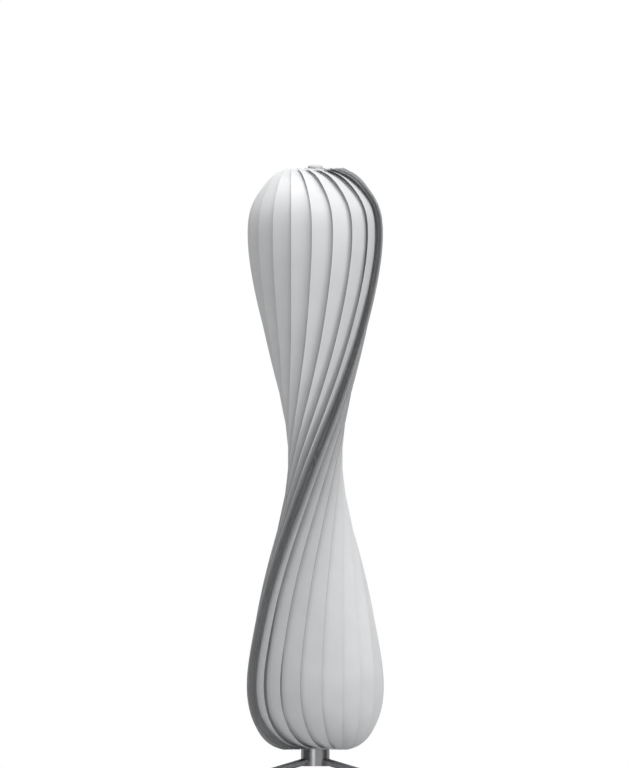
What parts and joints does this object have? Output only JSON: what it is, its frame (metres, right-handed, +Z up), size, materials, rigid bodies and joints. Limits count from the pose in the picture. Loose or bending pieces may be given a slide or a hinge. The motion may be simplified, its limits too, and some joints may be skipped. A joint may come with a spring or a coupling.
{
  "type": "floor lamp",
  "caption": "Floor lamp: an hourglass shade of overlapping bent strips on a polished steel hub with four sloping legs, and two bulbs inside.",
  "frame": {"origin": "on the floor, under the lamp's axis", "axes": "+Z up along the lamp's axis; the front faces -Y and +X is to the right, seen from the front; the legs stand at 45 degrees to X and Y"},
  "size_m": [0.338, 0.338, 1.3912],
  "materials": {
    "strip": "satin white-grey lacquer on thin sheet",
    "disc": "brushed",
    "tube": "satin plated",
    "nut": "turned",
    "finial": "light grey powder coat",
    "hub": "polished",
    "cover": "brushed",
    "leg": "polished",
    "foot": "matt moulded",
    "gland": "fine moulded texture",
    "terminal": "moulded",
    "bracket": "zinc plated",
    "screw": "zinc plated",
    "holder": "moulded thermoset",
    "brass": "stamped",
    "cap": "nickel plated",
    "globe": "opal",
    "post": "matt",
    "lead": "silicone"
  },
  "bodies": {
    "stand": {"strip_01": "strip", "strip_02": "strip", "strip_03": "strip", "strip_04": "strip", "strip_05": "strip", "strip_06": "strip", "strip_07": "strip", "strip_08": "strip", "strip_09": "strip", "strip_10": "strip", "strip_11": "strip", "strip_12": "strip", "strip_13": "strip", "strip_14": "strip", "strip_15": "strip", "strip_16": "strip", "strip_17": "strip", "strip_18": "strip", "strip_19": "strip", "strip_20": "strip", "top_disc": "disc", "bottom_disc": "disc", "centre_tube": "tube", "hub_nut": "nut", "bottom_disc_nut": "nut", "top_disc_nut": "nut", "lower_holder_nut": "nut", "upper_holder_nut": "nut", "hub": "hub", "hub_cover": "cover", "leg_1": "leg", "leg_2": "leg", "leg_3": "leg", "leg_4": "leg", "foot_1": "foot", "foot_2": "foot", "foot_3": "foot", "foot_4": "foot", "cable_gland": "gland", "terminal_block": "terminal", "lower_bracket": "bracket", "lower_bracket_screw": "screw", "lower_holder_body": "holder", "lower_holder_shell": "brass", "lower_lead": "lead", "upper_bracket": "bracket", "upper_bracket_screw": "screw", "upper_holder_body": "holder", "upper_holder_shell": "brass", "upper_lead": "lead"},
    "finial_thread": {"finial_insert": "brass"},
    "finial_cap": {"finial": "finial"},
    "lower_bulb_thread": {"lower_bulb_contact": "brass"},
    "lower_bulb": {"lower_bulb_cap": "cap", "lower_bulb_globe": "globe", "lower_led_post": "post"},
    "upper_bulb_thread": {"upper_bulb_contact": "brass"},
    "upper_bulb": {"upper_bulb_cap": "cap", "upper_bulb_globe": "globe", "upper_led_post": "post"}
  },
  "joints": [
    {"name": "finial_lift", "type": "slide", "parent": "stand", "child": "finial_thread", "axis": [0, 0, 1], "range_m": [0, 0.011]},
    {"name": "finial_turn", "type": "hinge", "parent": "finial_thread", "child": "finial_cap", "pos_m": [0, 0, 1.38], "axis": [0, 0, 1], "range_deg": [0, 3600]},
    {"name": "lower_bulb_lift", "type": "slide", "parent": "stand", "child": "lower_bulb_thread", "axis": [0, 0, 1], "range_m": [0, 0.027]},
    {"name": "lower_bulb_turn", "type": "hinge", "parent": "lower_bulb_thread", "child": "lower_bulb", "pos_m": [0.044, 0, 0.1693], "axis": [0, 0, 1], "range_deg": [0, 2520]},
    {"name": "upper_bulb_lift", "type": "slide", "parent": "stand", "child": "upper_bulb_thread", "axis": [0, 0, 1], "range_m": [0, 0.027]},
    {"name": "upper_bulb_turn", "type": "hinge", "parent": "upper_bulb_thread", "child": "upper_bulb", "pos_m": [-0.044, 0, 1.1393], "axis": [0, 0, 1], "range_deg": [0, 2520]}
  ],
  "couplings": [
    {"joint": "finial_lift", "follows": "finial_turn", "m_per_rad": 0.00015915},
    {"joint": "lower_bulb_lift", "follows": "lower_bulb_turn", "m_per_rad": 0.00057614},
    {"joint": "upper_bulb_lift", "follows": "upper_bulb_turn", "m_per_rad": 0.00057614}
  ]
}
